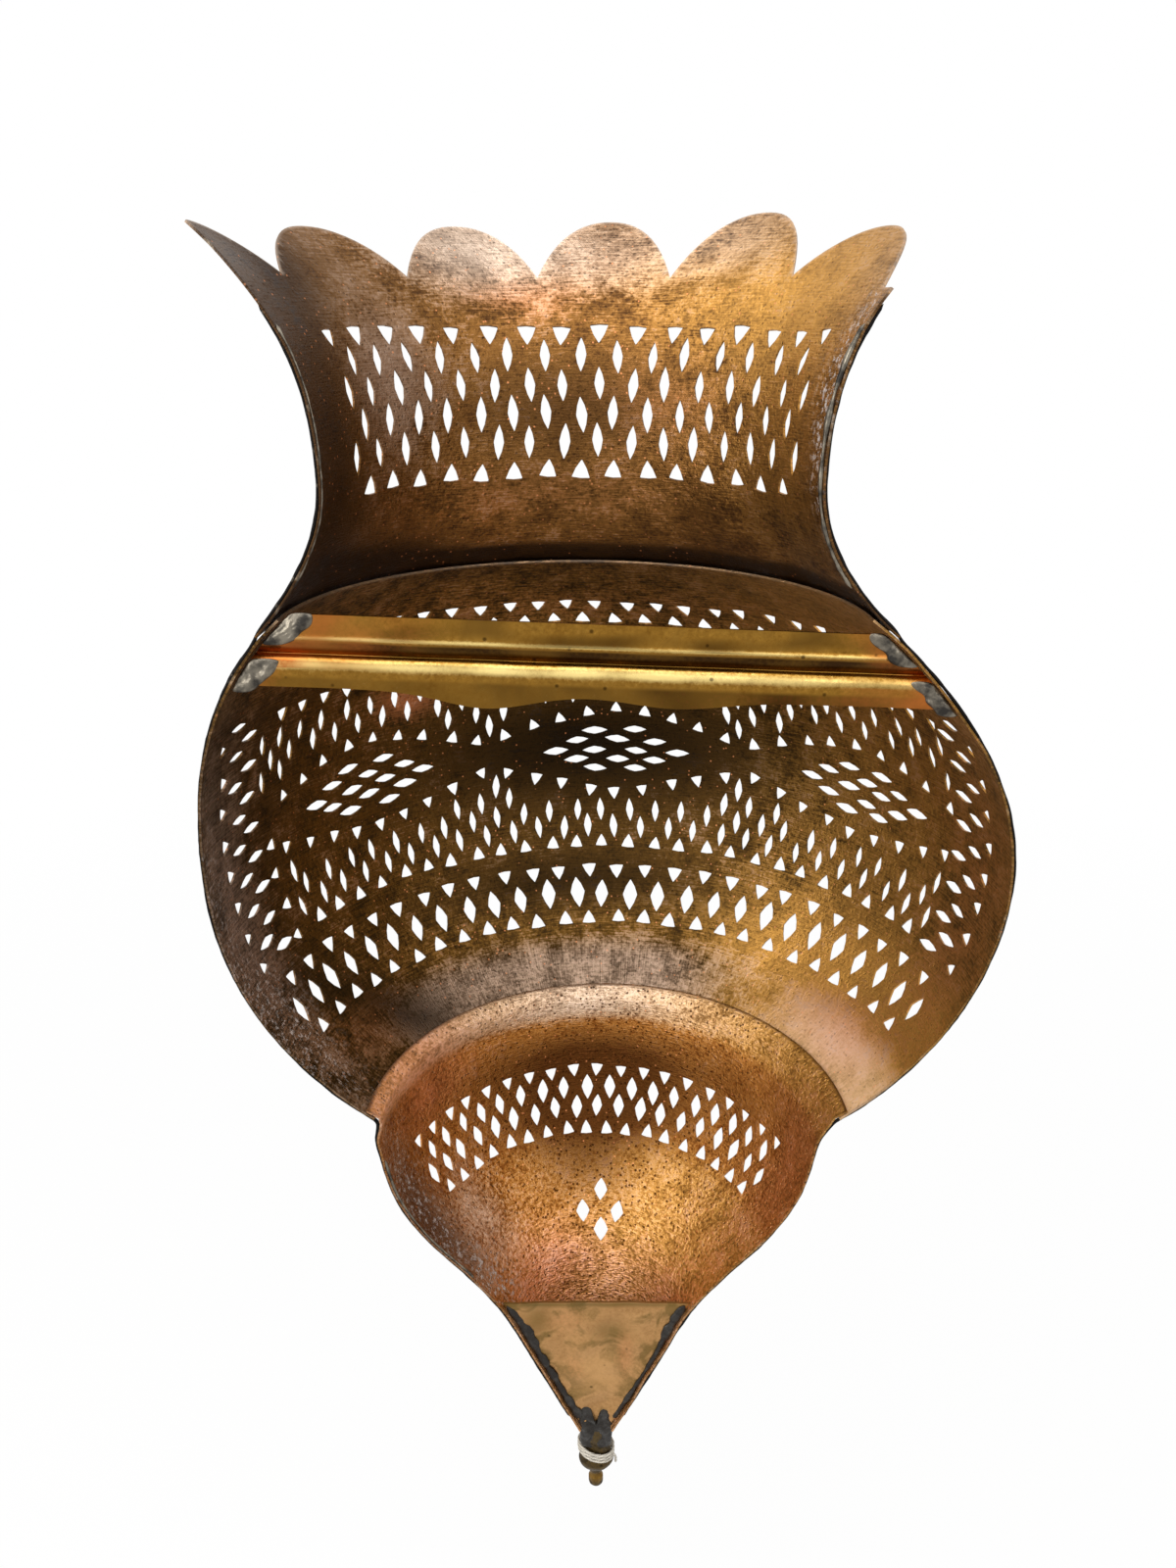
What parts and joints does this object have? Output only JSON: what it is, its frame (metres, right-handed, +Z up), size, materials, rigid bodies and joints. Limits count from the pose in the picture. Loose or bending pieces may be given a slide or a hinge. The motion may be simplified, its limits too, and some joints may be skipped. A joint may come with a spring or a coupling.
{
  "type": "wall sconce",
  "caption": "Half-round wall sconce shade of hand-pierced sheet brass: scalloped crown, wide globe and pointed bowl with a finial, open at the back and hung by a grooved bar.",
  "frame": {"origin": "on the wall plane, at the middle of the hanging bar", "axes": "+Z up, +Y into the wall, the shade bulging towards -Y"},
  "size_m": [0.2803, 0.1382, 0.5127],
  "materials": {
    "brown_brass": "aged brown patina",
    "olive_brass": "dark olive patina",
    "copper_brass": "pitted, copper-toned",
    "bright_brass": "polished, heat-stained at the ends",
    "dull_brass": "dull, stained",
    "dark_bronze": "dark patina",
    "iron_wire": "dark, solder-coated",
    "grey_solder": "lumpy, dull",
    "black_solder": "burnt black",
    "cotton_twine": "twisted off-white yarn"
  },
  "bodies": {
    "root": {"bar_solder_lower_left": "grey_solder", "bar_solder_lower_right": "grey_solder", "bar_solder_upper_left": "grey_solder", "bar_solder_upper_right": "grey_solder", "bowl_shell": "copper_brass", "bowl_solder_right": "grey_solder", "crown_shell": "brown_brass", "crown_solder_left": "grey_solder", "crown_solder_right": "grey_solder", "edge_wire_left": "iron_wire", "edge_wire_right": "iron_wire", "finial": "dark_bronze", "globe_shell": "olive_brass", "hanging_bar": "bright_brass", "hip_solder": "grey_solder", "root_solder": "black_solder", "shoulder_solder": "grey_solder", "tag_twine": "cotton_twine", "tip_plate": "dull_brass", "tip_solder_left": "black_solder", "tip_solder_right": "black_solder"}
  },
  "joints": []
}
